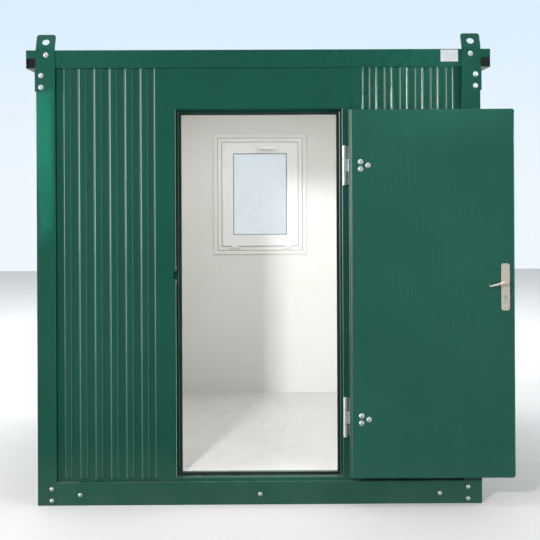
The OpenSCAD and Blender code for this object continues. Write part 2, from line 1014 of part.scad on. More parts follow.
module window_sash() {
  body_w = sash_open_w - 2 * sash_gap;
  body_h = sash_open_h - 2 * sash_gap;
  pocket_w = glass_open_w + 2 * (glass_bearing + glass_gap);
  pocket_h = glass_open_h + 2 * (glass_bearing + glass_gap);
  color(white) {
    at_window(sash_face_y)
      upright_ring(
        sash_open_w + 2 * sash_lap, sash_open_h + 2 * sash_lap,
        glass_open_w, glass_open_h, sash_lap_t
      );
    at_window(trim_y)
      upright_ring(body_w, body_h, glass_open_w, glass_open_h, sash_lip);
    at_window(trim_y + sash_lip)
      upright_ring(body_w, body_h, pocket_w, pocket_h, sash_depth - sash_lip);
  }
}

module window_glass() {
  width = glass_open_w + 2 * glass_bearing;
  height = glass_open_h + 2 * glass_bearing;
  color(glass_blue)
    translate([-width / 2, trim_y + sash_lip, window_mid - height / 2])
      cube([width, glass_t, height]);
}

module window_trims() {
  outer_w = window_w + 2 * trim_w;
  outer_h = window_h + 2 * trim_w;
  color(white) {
    at_window(trim_y)
      upright_ring(outer_w, outer_h, window_w, window_h, trim_t);
    at_window(crest_y)
      upright_ring(outer_w, outer_h, sash_open_w, sash_open_h, trim_t);
    translate([-outer_w / 2, crest_y, window_z - trim_w - outer_sill_t])
      cube([outer_w, outer_sill, outer_sill_t]);
  }
}

module window_handle() {
  plate_h = sash_w - sash_lap_t;
  plate_d = sash_lap_t;
  lever_h = window_lever_w / 2;
  color(white)
    translate([0, sash_face_y, window_mid + glass_open_h / 2 + sash_w / 2]) {
      rotate([90, 0, 0])
        linear_extrude(plate_d)
          rounded_rect(window_lever_w, plate_h, window_lever_w / 4);
      rotate([90, 0, 0])
        cylinder(d = lever_h, h = window_lever_out);
      translate([window_lever_l / 2 - lever_h, -window_lever_out + lever_h / 2, 0])
        rotate([90, 0, 0])
          linear_extrude(lever_h)
            rounded_rect(window_lever_l, window_grip_w, lever_h / 2);
    }
}

front_sill();
rear_sill();
side_sills();
floor_joists();
floor_deck();
corner_post_front_left();
corner_post_front_right();
corner_post_rear_left();
corner_post_rear_right();
front_head_beam();
rear_head_beam();
side_head_beams();
left_eaves_rail();
right_eaves_rail();
lug_front_left();
lug_front_right();
lug_rear_left();
lug_rear_right();
roof_panel();
ceiling_panel();
front_wall_left();
front_wall_right();
left_wall();
right_wall();
rear_wall();
front_lining();
side_linings();
rear_lining();
door_jamb_left();
door_jamb_right();
door_head();
door_threshold();
door_seal();
hinge_plates();
hinge_pins();
hinge_straps();
door_leaf();
door_escutcheons();
lock_cylinder();
lever_handles();
latch_bolt();
window_frame();
window_sash();
window_glass();
window_trims();
window_handle();
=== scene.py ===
# Portable site cabin: finishes, fasteners, trim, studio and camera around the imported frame.
# Metres. The origin is the centre of the base on the ground, the front faces -Y, +Z is up.
import json
import math

import bmesh
import bpy
from mathutils import Matrix, Vector


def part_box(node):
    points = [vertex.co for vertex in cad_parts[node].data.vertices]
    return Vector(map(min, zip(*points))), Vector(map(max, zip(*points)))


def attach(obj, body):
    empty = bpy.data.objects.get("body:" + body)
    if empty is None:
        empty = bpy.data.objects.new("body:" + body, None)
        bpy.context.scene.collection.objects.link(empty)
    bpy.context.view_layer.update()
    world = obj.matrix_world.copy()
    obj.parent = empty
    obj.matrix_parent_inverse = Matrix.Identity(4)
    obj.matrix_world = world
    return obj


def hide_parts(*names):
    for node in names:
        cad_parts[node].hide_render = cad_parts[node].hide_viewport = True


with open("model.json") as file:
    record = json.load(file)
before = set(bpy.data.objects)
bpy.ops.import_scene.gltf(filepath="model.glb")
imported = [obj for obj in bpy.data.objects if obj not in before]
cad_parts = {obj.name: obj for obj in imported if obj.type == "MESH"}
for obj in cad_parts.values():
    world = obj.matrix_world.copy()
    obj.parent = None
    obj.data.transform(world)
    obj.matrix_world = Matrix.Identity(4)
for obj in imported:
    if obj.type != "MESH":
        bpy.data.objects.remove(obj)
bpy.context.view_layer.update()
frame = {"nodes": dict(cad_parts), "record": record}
nodes = frame["nodes"]
slot_of = {part["node"]: part["material_slot"] for part in frame["record"]["subparts"]}

RIGHT, FRONT, REAR = Vector((1, 0, 0)), Vector((0, -1, 0)), Vector((0, 1, 0))
# Points this near are one point, and points this near a plane lie on it
SAME_POINT, ON_PLANE = 1e-5, 1e-4
# Faces that turn less than this are one flat face; on a folded piece, edges that turn more stay sharp
FLAT_DEG, FOLD_DEG = 0.4, 34.0


def srgb(red, green, blue):
    """A colour given on the 0 to 255 scale, as linear light."""
    def linear(value):
        share = value / 255
        return share / 12.92 if share <= 0.04045 else ((share + 0.055) / 1.055) ** 2.4
    return (linear(red), linear(green), linear(blue), 1.0)


# Shader tools

def add(tree, kind, inputs=None, **settings):
    """A node with its settings, its sockets set to values or linked to other sockets."""
    made = tree.nodes.new(kind)
    for key, value in settings.items():
        setattr(made, key, value)
    for key, value in (inputs or {}).items():
        if isinstance(value, bpy.types.NodeSocket):
            tree.links.new(value, made.inputs[key])
        else:
            made.inputs[key].default_value = value
    return made


def noise(tree, vector, scale, detail=3.0, roughness=0.5):
    return add(tree, "ShaderNodeTexNoise", {
        "Vector": vector, "Scale": scale, "Detail": detail, "Roughness": roughness}).outputs["Fac"]


def remap(tree, value, low, high, new_low=0.0, new_high=1.0):
    return add(tree, "ShaderNodeMapRange", {
        "Value": value, "From Min": low, "From Max": high,
        "To Min": new_low, "To Max": new_high}).outputs["Result"]


def stretch(tree, vector, scale):
    return add(tree, "ShaderNodeMapping", {"Vector": vector, "Scale": scale}).outputs["Vector"]


def math_node(tree, operation, first, second):
    return add(tree, "ShaderNodeMath", {0: first, 1: second}, operation=operation).outputs[0]


def mix(tree, share, first, second):
    return add(tree, "ShaderNodeMix", {0: share, 6: first, 7: second}, data_type="RGBA").outputs[2]


def new_group(name, inputs, outputs):
    """An empty shader group with named sockets, and its input and output nodes."""
    group = bpy.data.node_groups.new(name, "ShaderNodeTree")
    for label, kind in inputs:
        group.interface.new_socket(label, in_out="INPUT", socket_type="NodeSocket" + kind)
    for label, kind in outputs:
        group.interface.new_socket(label, in_out="OUTPUT", socket_type="NodeSocket" + kind)
    return group, group.nodes.new("NodeGroupInput").outputs, group.nodes.new("NodeGroupOutput").inputs


def paint_film_group():
    """Coil-coated paint: slow clouds of tone, faint runs down the sheet and a fine orange peel."""
    group, given, result = new_group(
        "paint_film",
        [("Vector", "Vector"), ("Color", "Color"), ("Cloud Color", "Color"), ("Peel Scale", "Float")],
        [("Color", "Color"), ("Roughness", "Float"), ("Height", "Float")])
    cloud_share, run_share = 0.85, 0.15
    clouds = noise(group, given["Vector"], 1.7, detail=4.0)
    runs = noise(group, stretch(group, given["Vector"], (26.0, 26.0, 0.9)), 1.0, detail=2.0)
    tone = math_node(
        group, "ADD", math_node(group, "MULTIPLY", clouds, cloud_share),
        math_node(group, "MULTIPLY", runs, run_share))
    peel = noise(group, given["Vector"], given["Peel Scale"], detail=2.0)
    color = mix(group, remap(group, tone, 0.34, 0.68), given["Cloud Color"], given["Color"])
    group.links.new(color, result["Color"])
    group.links.new(remap(group, tone, 0.3, 0.7, -0.05, 0.05), result["Roughness"])
    group.links.new(peel, result["Height"])
    return group


def settled_dust_group():
    """Dust that lies on what faces up, and splashes low down near the ground."""
    group, given, result = new_group(
        "settled_dust",
        [("Vector", "Vector"), ("Color", "Color"), ("Dust Color", "Color"),
         ("On Top", "Float"), ("Splash", "Float")],
        [("Color", "Color"), ("Mask", "Float")])
    normal = add(group, "ShaderNodeNewGeometry").outputs["Normal"]
    facing_up = add(group, "ShaderNodeSeparateXYZ", {0: normal}).outputs[2]
    height = add(group, "ShaderNodeSeparateXYZ", {0: given["Vector"]}).outputs[2]
    splash_top = 0.30
    patches = remap(group, noise(group, given["Vector"], 9.0, detail=5.0, roughness=0.6), 0.35, 0.75)
    on_top = math_node(group, "MULTIPLY", remap(group, facing_up, 0.75, 0.98), given["On Top"])
    low_down = math_node(group, "MULTIPLY", remap(group, height, splash_top, 0.0), given["Splash"])
    splashes = math_node(group, "MULTIPLY", low_down, remap(group, patches, 0.0, 1.0, 0.4, 0.8))
    amount = math_node(group, "ADD", math_node(group, "MULTIPLY", on_top, patches), splashes)
    group.links.new(mix(group, amount, given["Color"], given["Dust Color"]), result["Color"])
    group.links.new(amount, result["Mask"])
    return group


def drawn_metal_group():
    """Bare or plated metal: drawing lines along one way and small dull spots."""
    group, given, result = new_group(
        "drawn_metal",
        [("Vector", "Vector"), ("Color", "Color"), ("Dull Color", "Color"), ("Line Scale", "Vector")],
        [("Color", "Color"), ("Roughness", "Float"), ("Height", "Float")])
    lines = noise(group, stretch(group, given["Vector"], given["Line Scale"]), 1.0)
    spots = remap(group, noise(group, given["Vector"], 160.0, detail=4.0, roughness=0.6), 0.45, 0.75)
    group.links.new(mix(group, spots, given["Color"], given["Dull Color"]), result["Color"])
    wear = math_node(group, "ADD", lines, spots)
    group.links.new(remap(group, wear, 0.3, 1.5, -0.07, 0.12), result["Roughness"])
    group.links.new(lines, result["Height"])
    return group


paint_film = paint_film_group()
settled_dust = settled_dust_group()
drawn_metal = drawn_metal_group()


def use(tree, group, inputs):
    """A shader group at work in a tree: its outputs."""
    return add(tree, "ShaderNodeGroup", inputs, node_tree=group).outputs


def new_material(name, **constants):
    """A material with a Principled surface: its tree, its surface and its Object coordinates."""
    material = bpy.data.materials.new(name)
    material.use_nodes = True
    tree = material.node_tree
    surface = tree.nodes["Principled BSDF"]
    for key, value in constants.items():
        surface.inputs[key.replace("_", " ")].default_value = value
    return material, tree, surface, add(tree, "ShaderNodeTexCoord").outputs["Object"]


def join(tree, surface, color, roughness, height, strength, distance):
    """Links a colour, a roughness and a height, as a bump, to a surface."""
    tree.links.new(color, surface.inputs["Base Color"])
    tree.links.new(roughness, surface.inputs["Roughness"])
    bump = add(tree, "ShaderNodeBump", {"Height": height, "Strength": strength, "Distance": distance})
    tree.links.new(bump.outputs["Normal"], surface.inputs["Normal"])


# Finishes

def green_finish(name, color, cloud, rough, peel, on_top, splash):
    """Glossy paint under a thin clear coat, duller where dust lies."""
    dull_dust = 0.35
    material, tree, surface, place = new_material(
        name, IOR=1.5, Coat_Weight=0.5, Coat_Roughness=0.05, Specular_IOR_Level=0.4)
    film = use(tree, paint_film, {
        "Vector": place, "Color": color, "Cloud Color": cloud, "Peel Scale": 260.0})
    dust = use(tree, settled_dust, {
        "Vector": place, "Color": film["Color"], "Dust Color": srgb(150, 158, 150),
        "On Top": on_top, "Splash": splash})
    clean = math_node(tree, "ADD", film["Roughness"], rough)
    roughness = math_node(tree, "ADD", clean, math_node(tree, "MULTIPLY", dust["Mask"], dull_dust))
    join(tree, surface, dust["Color"], roughness, film["Height"], strength=peel, distance=0.0006)
    return material


def white_board_finish():
    """White coated board, as on the inside of the walls."""
    material, tree, surface, place = new_material("white_lining", IOR=1.46, Specular_IOR_Level=0.4)
    film = use(tree, paint_film, {
        "Vector": place, "Color": srgb(229, 229, 226), "Cloud Color": srgb(224, 224, 219),
        "Peel Scale": 420.0})
    roughness = math_node(tree, "ADD", film["Roughness"], 0.42)
    join(tree, surface, film["Color"], roughness, film["Height"], strength=0.12, distance=0.0005)
    return material


def floor_finish():
    """Pale flecked floor sheet, scuffed in patches."""
    material, tree, surface, place = new_material("floor_sheet", IOR=1.48)
    flecks = remap(tree, noise(tree, place, 520.0, detail=2.0), 0.52, 0.66)
    base = mix(tree, flecks, srgb(216, 216, 214), srgb(196, 196, 192))
    streaks = noise(tree, stretch(tree, place, (5.0, 2.0, 1.0)), 2.4, detail=6.0, roughness=0.65)
    scuffs = remap(tree, streaks, 0.5, 0.8)
    color = mix(tree, scuffs, base, srgb(203, 202, 198))
    roughness = remap(tree, scuffs, 0.0, 1.0, 0.28, 0.46)
    join(tree, surface, color, roughness, flecks, strength=0.08, distance=0.0004)
    return material


def rubber_finish(name, color):
    """Matt rubber with fine lines along it and a greyer bloom in patches."""
    bloom_gain = 1.9
    material, tree, surface, place = new_material(name, IOR=1.5)
    lines = noise(tree, stretch(tree, place, (700.0, 700.0, 60.0)), 1.0, detail=2.0)
    bloom = remap(tree, noise(tree, place, 24.0, detail=4.0), 0.4, 0.75)
    grey = tuple(min(1.0, share * bloom_gain) for share in color[:3]) + (1.0,)
    roughness = remap(tree, bloom, 0.0, 1.0, 0.48, 0.66)
    join(tree, surface, mix(tree, bloom, color, grey), roughness, lines, strength=0.2, distance=0.0004)
    return material


def metal_finish(name, color, dull, rough, lines):
    """Plated or brushed metal; lines says how fine its drawing lines are each way."""
    material, tree, surface, place = new_material(name, Metallic=0.7)
    grain = use(tree, drawn_metal, {
        "Vector": place, "Color": color, "Dull Color": dull, "Line Scale": lines})
    roughness = math_node(tree, "ADD", grain["Roughness"], rough)
    join(tree, surface, grain["Color"], roughness, grain["Height"], strength=0.02, distance=0.0004)
    return material


def plastic_finish(name, color, shade, rough):
    """Moulded plastic, nearly even in tone."""
    material, tree, surface, place = new_material(name, IOR=1.5, Coat_Weight=0.1, Coat_Roughness=0.1)
    film = use(tree, paint_film, {
        "Vector": place, "Color": color, "Cloud Color": shade, "Peel Scale": 600.0})
    roughness = math_node(tree, "ADD", film["Roughness"], rough)
    join(tree, surface, film["Color"], roughness, film["Height"], strength=0.05, distance=0.0004)
    return material


def glass_finish():
    """Thin clear glass, a little smeared, under a painted pale bluish-grey reflection."""
    material, tree, surface, place = new_material(
        "window_glass", IOR=1.5, Roughness=0.03, Specular_IOR_Level=0.6)
    smears = remap(tree, noise(tree, place, 6.0, detail=5.0, roughness=0.6), 0.45, 0.8)
    # Painted reflection: the glass shows a pale bluish grey at part opacity, paler where it is smeared.
    color = mix(tree, smears, srgb(186, 198, 204), srgb(222, 228, 230))
    tree.links.new(color, surface.inputs["Base Color"])
    tree.links.new(remap(tree, smears, 0.0, 1.0, 0.20, 0.30), surface.inputs["Alpha"])
    return material


GREEN, GREEN_CLOUD = srgb(6, 57, 46), srgb(4, 52, 41)
DOOR_GREEN, DOOR_CLOUD = srgb(19, 64, 54), srgb(16, 59, 49)
THRESHOLD_GREEN = srgb(7, 64, 51)
finishes = {
    "green_paint": green_finish(
        "green_paint", GREEN, GREEN_CLOUD, rough=0.30, peel=0.05, on_top=0.35, splash=0.07),
    "door_paint": green_finish(
        "door_paint", DOOR_GREEN, DOOR_CLOUD, rough=0.26, peel=0.07, on_top=0.25, splash=0.04),
    "roof_paint": green_finish(
        "roof_paint", GREEN, GREEN_CLOUD, rough=0.36, peel=0.12, on_top=0.40, splash=0.0),
    "threshold_steel": green_finish(
        "threshold_steel", THRESHOLD_GREEN, GREEN_CLOUD, rough=0.28, peel=0.10, on_top=0.20, splash=0.05),
    "galvanised_steel": metal_finish(
        "galvanised_steel", srgb(176, 180, 182), srgb(142, 147, 150), rough=0.46, lines=(40.0, 40.0, 40.0)),
    "floor_sheet": floor_finish(),
    "white_lining": white_board_finish(),
    "rubber_seal": rubber_finish("rubber_seal", srgb(20, 24, 22)),
    "zinc_plate": metal_finish(
        "zinc_plate", srgb(190, 195, 196), srgb(162, 167, 169), rough=0.36, lines=(300.0, 300.0, 90.0)),
    "handle_steel": metal_finish(
        "handle_steel", srgb(214, 205, 192), srgb(208, 199, 186), rough=0.32, lines=(300.0, 300.0, 14.0)),
    "white_pvc": plastic_finish("white_pvc", srgb(244, 244, 244), srgb(240, 240, 239), rough=0.26),
    "window_glass": glass_finish(),
}
# Painted shade: near-black for the inside of the open eaves rail ends and the keyways.
painted_shade_black = plastic_finish("painted_shade_black", srgb(7, 8, 8), srgb(11, 12, 12), rough=0.7)
# Grey rubber for the window gaskets, also used for the painted shadow line round the window frame.
gasket_and_shadow_grey = rubber_finish("gasket_and_shadow_grey", srgb(88, 90, 90))
bare_plate = metal_finish(
    "bare_plate", srgb(214, 216, 220), srgb(188, 190, 196), rough=0.34, lines=(60.0, 900.0, 900.0))
# Pieces whose look differs a little from their slot's own finish
OWN_FINISH = {
    "window_trims": plastic_finish("white_trim", srgb(235, 235, 231), srgb(231, 231, 227), rough=0.32),
}


# Mesh tools

def finish_piece(bm, name, body, slot, material=None, sharp_deg=35.0):
    """Turns a bmesh into a finished piece on its body, in its slot's finish or one of its own."""
    bmesh.ops.recalc_face_normals(bm, faces=bm.faces)
    for face in bm.faces:
        face.smooth = True
    for edge in sharp_edges(bm.edges, sharp_deg):
        edge.smooth = False
    mesh = bpy.data.meshes.new(name)
    bm.to_mesh(mesh)
    bm.free()
    piece = bpy.data.objects.new(name, mesh)
    bpy.context.scene.collection.objects.link(piece)
    mesh.materials.append(material or finishes[slot])
    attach(piece, body)
    return piece


def soften(bm, edges, width, segments=3, clamp=True):
    """Rounds edges; the flat faces beside them keep their flat shading."""
    made = bmesh.ops.bevel(
        bm, geom=edges, offset=width, offset_type="OFFSET", segments=segments, profile=0.5,
        affect="EDGES", material=-1, clamp_overlap=clamp)
    folds = set(made["faces"])
    for face in folds:
        for edge in face.edges:
            if any(beside not in folds for beside in edge.link_faces):
                edge.smooth = False


def sharp_edges(edges, degrees=25.0):
    limit = math.radians(degrees)
    return [edge for edge in edges if len(edge.link_faces) == 2 and edge.calc_face_angle() > limit]


def front_face(node):
    """The lowest and highest corners of what lies on a CAD piece's front plane."""
    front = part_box(node)[0][1]
    points = [vert.co for vert in nodes[node].data.vertices if vert.co.y < front + ON_PLANE]
    return [[pick(point[axis] for point in points) for axis in range(3)] for pick in (min, max)]


def cad_copy(node):
    """A CAD piece's mesh with its flat faces whole."""
    bm = bmesh.new()
    bm.from_mesh(nodes[node].data)
    bmesh.ops.remove_doubles(bm, verts=bm.verts, dist=SAME_POINT)
    bmesh.ops.dissolve_limit(
        bm, angle_limit=math.radians(FLAT_DEG), use_dissolve_boundaries=False,
        verts=bm.verts, edges=bm.edges)
    return bm


def rounded_copy(node, body, width, shortest, clamp=True):
    """A CAD piece with the small folds of the real one along each sharp edge of some length."""
    bm = cad_copy(node)
    edges = [edge for edge in sharp_edges(bm.edges) if edge.calc_length() > shortest]
    soften(bm, edges, width, clamp=clamp)
    piece = finish_piece(bm, node + "_folded", body, slot_of[node], OWN_FINISH.get(node), FOLD_DEG)
    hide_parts(node)


def ribbed_copy(node, body, bend, crease, width):
    """A ribbed sheet: soft bends on its ribs, creases in its valleys, folds along its other long edges."""
    square_deg, shortest_bend, shortest_fold = 75.0, 0.1, 0.2
    bm = cad_copy(node)
    square = set(sharp_edges(bm.edges, square_deg))
    bends = [edge for edge in sharp_edges(bm.edges)
             if edge not in square and edge.calc_length() > shortest_bend]
    soften(bm, [edge for edge in bends if edge.is_convex], bend, segments=5)
    soften(bm, [edge for edge in bends if edge.is_valid and not edge.is_convex], crease)
    folds = [edge for edge in sharp_edges(bm.edges, square_deg) if edge.calc_length() > shortest_fold]
    soften(bm, folds, width)
    piece = finish_piece(bm, node + "_folded", body, slot_of[node], sharp_deg=FOLD_DEG)
    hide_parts(node)


def block(bm, low, high, width):
    """A bevelled block between two corners."""
    low, high = Vector(low), Vector(high)
    place = Matrix.Translation((low + high) / 2) @ Matrix.Diagonal((*(high - low), 1.0))
    made = bmesh.ops.create_cube(bm, size=1.0, matrix=place)
    soften(bm, list({edge for vert in made["verts"] for edge in vert.link_edges}), width)


def upright_ring(bm, x, z, width, y, depth, inner_depth=None):
    """A frame in the XZ plane: x and z are its outer edges, its back lies on y, its front depth nearer."""
    place = (Matrix.Translation((sum(x) / 2, y, sum(z) / 2)) @ Matrix.Rotation(math.radians(90), 4, "X")
             @ Matrix.Diagonal((x[1] - x[0], z[1] - z[0], 1.0, 1.0)))
    made = bmesh.ops.create_grid(bm, x_segments=1, y_segments=1, size=0.5, matrix=place)
    face = made["verts"][0].link_faces[0]
    rim = bmesh.ops.inset_region(
        bm, faces=[face], thickness=width, use_boundary=True, use_even_offset=True)["faces"]
    bmesh.ops.delete(bm, geom=[face], context="FACES")
    raised = bmesh.ops.extrude_face_region(bm, geom=rim)["geom"]
    raised = [item for item in raised if isinstance(item, bmesh.types.BMVert)]
    inner = [vert for vert in raised if x[0] + width / 2 < vert.co.x < x[1] - width / 2
             and z[0] + width / 2 < vert.co.z < z[1] - width / 2]
    outer = [vert for vert in raised if vert not in inner]
    for verts, forward in ((outer, depth), (inner, depth if inner_depth is None else inner_depth)):
        bmesh.ops.translate(bm, vec=(0.0, -forward, 0.0), verts=verts)


def ring_round(bm, low, high, out, width, y, depth, inner_depth=None):
    """An upright ring round a box, its outer edges out beyond the box's own."""
    upright_ring(
        bm, (low[0] - out, high[0] + out), (low[2] - out, high[2] + out), width, y, depth, inner_depth)


def folded_strip(bm, profile, along):
    """A strip of one profile, carried along a straight way."""
    face = bm.faces.new([bm.verts.new(point) for point in profile])
    end = bmesh.ops.extrude_face_region(bm, geom=[face], use_keep_orig=True)["geom"]
    bmesh.ops.translate(bm, vec=along, verts=[item for item in end if isinstance(item, bmesh.types.BMVert)])


def turned(name, profile, steps):
    """A mesh spun about Z from a profile of (radius, height), to be placed many times."""
    bm = bmesh.new()
    verts = [bm.verts.new((radius, 0.0, height)) for radius, height in profile]
    edges = [bm.edges.new(pair) for pair in zip(verts, verts[1:])]
    bmesh.ops.spin(
        bm, geom=verts + edges, axis=(0, 0, 1), cent=(0, 0, 0), angle=math.tau, steps=steps, use_merge=True)
    bmesh.ops.remove_doubles(bm, verts=bm.verts, dist=SAME_POINT)
    bmesh.ops.recalc_face_normals(bm, faces=bm.faces)
    mesh = bpy.data.meshes.new(name)
    bm.to_mesh(mesh)
    bm.free()
    return mesh


def stamp(bm, template, place, outward, size):
    """Puts a copy of a turned mesh on a place, its axis outwards."""
    turn = Vector(outward).to_track_quat("Z", "Y").to_matrix().to_4x4()
    copy = template.copy()
    copy.transform(Matrix.Translation(place) @ turn @ Matrix.Scale(size, 4))
    bm.from_mesh(copy)
    bpy.data.meshes.remove(copy)


# CAD pieces with their small folds

# Pieces by body and by width of fold: long ones fold along their long edges, small ones all round
LONG_EDGE = 0.045
LONG_FOLDS = {
    "cabin": {
        0.0030: ["front_sill", "rear_sill", "side_sills", "corner_post_front_left",
                 "corner_post_front_right", "corner_post_rear_left", "corner_post_rear_right",
                 "front_head_beam", "rear_head_beam", "side_head_beams"],
        0.0010: ["left_eaves_rail", "right_eaves_rail", "floor_joists", "floor_deck", "front_lining",
                 "side_linings", "rear_lining", "ceiling_panel"],
        0.0020: ["lug_front_left", "lug_front_right", "lug_rear_left", "lug_rear_right"],
        0.0034: ["window_sash", "window_frame", "window_trims"],
    },
}
SMALL_FOLDS = {
    "cabin": {0.0010: ["hinge_plates", "hinge_pins", "door_seal"], 0.0030: ["window_handle"]},
    "door": {0.0020: ["door_escutcheons"], 0.0010: ["hinge_straps", "lock_cylinder"]},
    "handle": {0.0012: ["lever_handles"]},
    "latch": {0.0010: ["latch_bolt"]},
}
for table, shortest in ((LONG_FOLDS, LONG_EDGE), (SMALL_FOLDS, 0.0)):
    for body, widths in table.items():
        for width, names in widths.items():
            for name in names:
                rounded_copy(name, body, width, shortest)

LEAF_FOLD, LEAF_EDGE = 0.0045, 0.5
rounded_copy("door_leaf", "door", LEAF_FOLD, LEAF_EDGE, clamp=False)

RIB_BEND, RIB_CREASE, SHEET_FOLD = 0.0055, 0.0010, 0.0025
for name in ("front_wall_left", "front_wall_right", "left_wall", "right_wall", "rear_wall", "roof_panel"):
    ribbed_copy(name, "cabin", RIB_BEND, RIB_CREASE, SHEET_FOLD)

# CAD pieces that lie flush with each other and keep their own edges
for name in ("door_jamb_left", "door_jamb_right", "door_head", "door_threshold", "window_glass"):
    nodes[name].data.materials.clear()
    nodes[name].data.materials.append(finishes[slot_of[name]])

# Places worked out from the frame

post_low, post_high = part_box("corner_post_front_right")
half_w, half_d = post_high[0], -post_low[1]
lug_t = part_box("lug_front_right")[1][0] - half_w
leaf_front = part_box("door_leaf")[0][1]
jamb_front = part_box("door_jamb_left")[0][1]
seal_low, seal_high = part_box("door_seal")
latch_low, latch_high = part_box("latch_bolt")

# Fasteners

# Profiles of (radius, height), as shares of the head's width; the dome bolt has a washer under its head
DOME = [(0.0, 0.20), (0.10, 0.20), (0.11, 0.33), (0.16, 0.35), (0.30, 0.31), (0.42, 0.21), (0.48, 0.10),
        (0.50, 0.09), (0.58, 0.09), (0.60, 0.06), (0.60, -0.02)]
SCREW = [(0.0, 0.06), (0.13, 0.06), (0.15, 0.16), (0.36, 0.15), (0.47, 0.08), (0.50, -0.02)]
dome_bolt = turned("dome_bolt_shape", DOME, steps=20)
pan_screw = turned("pan_screw_shape", SCREW, steps=14)

# Widths of the heads, and places: in from the corner or along the beam, and up from the ground
LUG_BOLT, SILL_BOLT, HINGE_BOLT = 0.021, 0.017, 0.022
LUG_BOLTS_FRONT = [(0.048, 2.127), (0.024, 2.030), (0.024, 1.975)]
LUG_BOLTS_SIDE = [(0.045, 2.030), (0.045, 1.975)]
SILL_BOLTS_AT, SILL_BOLT_Z = (-0.850, 0.0, 0.850), 0.049
FOOT_BOLT_IN, FOOT_BOLTS_Z = 0.066, (0.078, 0.023)


def frame_bolts():
    """Dome bolts on the lugs, the feet of the posts and the base beams, the same on all sides."""
    bm = bmesh.new()
    for side in (-1, 1):
        for way in (-1, 1):
            face_y, face_x = way * half_d, side * half_w
            for inward, z in LUG_BOLTS_FRONT:
                place = (side * (half_w - inward), face_y + way * lug_t, z)
                stamp(bm, dome_bolt, place, (0, way, 0), LUG_BOLT)
            for inward, z in LUG_BOLTS_SIDE:
                place = (face_x + side * lug_t, way * (half_d - inward), z)
                stamp(bm, dome_bolt, place, (side, 0, 0), LUG_BOLT)
            for z in FOOT_BOLTS_Z:
                stamp(bm, dome_bolt, (side * (half_w - FOOT_BOLT_IN), face_y, z), (0, way, 0), SILL_BOLT)
                stamp(bm, dome_bolt, (face_x, way * (half_d - FOOT_BOLT_IN), z), (side, 0, 0), SILL_BOLT)
    for along in SILL_BOLTS_AT:
        for way in (-1, 1):
            stamp(bm, dome_bolt, (along, way * half_d, SILL_BOLT_Z), (0, way, 0), SILL_BOLT)
            stamp(bm, dome_bolt, (way * half_w, along, SILL_BOLT_Z), (way, 0, 0), SILL_BOLT)
    finish_piece(bm, "frame_bolts", "cabin", "zinc_plate")


# Out from the hinge's axis and up from its middle
HINGE_BOLTS = [(0.071, 0.016), (0.071, -0.017), (0.106, -0.001)]
HINGE_SCREWS_UP = (-0.060, 0.0, 0.060)


def hinge_fasteners():
    """Three bolts through the leaf at each hinge, and screws in the frame plates."""
    screw, screw_in, plate_t, inner_head = 0.011, 0.020, 0.004, 0.8 * HINGE_BOLT
    pins_low, pins_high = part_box("hinge_pins")
    plate_low, plate_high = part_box("hinge_plates")
    strap_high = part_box("hinge_straps")[1]
    axis_x = (pins_low[0] + pins_high[0]) / 2
    knuckle = plate_high[2] - strap_high[2]
    half_hinge = 1.5 * knuckle
    bolts = bmesh.new()
    screws = bmesh.new()
    for middle in (plate_low[2] + half_hinge, plate_high[2] - half_hinge):
        for out, up in HINGE_BOLTS:
            stamp(bolts, dome_bolt, (axis_x + out, leaf_front, middle + up), FRONT, HINGE_BOLT)
            stamp(bolts, pan_screw, (axis_x + out, strap_high[1], middle + up), REAR, inner_head)
        for up in HINGE_SCREWS_UP:
            place = (plate_high[0] - screw_in, plate_high[1] - plate_t, middle + up)
            stamp(screws, pan_screw, place, FRONT, screw)
    finish_piece(bolts, "hinge_bolts", "door", "zinc_plate")
    finish_piece(screws, "hinge_plate_screws", "cabin", "zinc_plate")


# Trim on the frame and the doorway

def label_place():
    """The place of a label on the top beam holds a bare riveted plate."""
    low_x, high_x, low_z, high_z = 0.862, 0.944, 2.090, 2.146
    thick, fold, rivet, rivet_in = 0.0015, 0.0006, 0.005, 0.005
    bm = bmesh.new()
    block(bm, (low_x, -half_d - thick, low_z), (high_x, -half_d, high_z), fold)
    for x in (low_x + rivet_in, high_x - rivet_in):
        for z in (low_z + rivet_in, high_z - rivet_in):
            stamp(bm, pan_screw, (x, -half_d - thick, z), FRONT, rivet)
    finish_piece(bm, "bare_plate", "cabin", "zinc_plate", bare_plate)


def eaves_shade_plugs():
    """Black plugs in the open ends of the eaves rails, each with a pressed-in middle; their black is
    painted shade for the dark inside the hollow rails.
    """
    wall, cell, set_back = 0.0025, 0.044, 0.0015
    rim, rim_depth, pressed_in, deep, fold = 0.004, 0.010, 0.003, 0.012, 0.001
    rail_low, rail_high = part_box("right_eaves_rail")
    bm = bmesh.new()
    for side in (-1, 1):
        for way in (-1, 1):
            x = sorted(side * value for value in (rail_low[0] + wall, rail_high[0] - wall))
            z = (rail_low[2] + wall, rail_low[2] + wall + cell)
            face_y = way * (half_d - set_back)
            y = sorted((face_y - way * pressed_in, face_y - way * deep))
            block(bm, (x[0] + rim, y[0], z[0] + rim), (x[1] - rim, y[1], z[1] - rim), fold)
            front = face_y if way < 0 else face_y - rim_depth
            upright_ring(bm, x, z, rim, front + rim_depth, rim_depth)
    # The plugs' near-black is painted shade for the inside of the hollow rails.
    finish_piece(bm, "eaves_shade_plugs", "cabin", "rubber_seal", painted_shade_black)


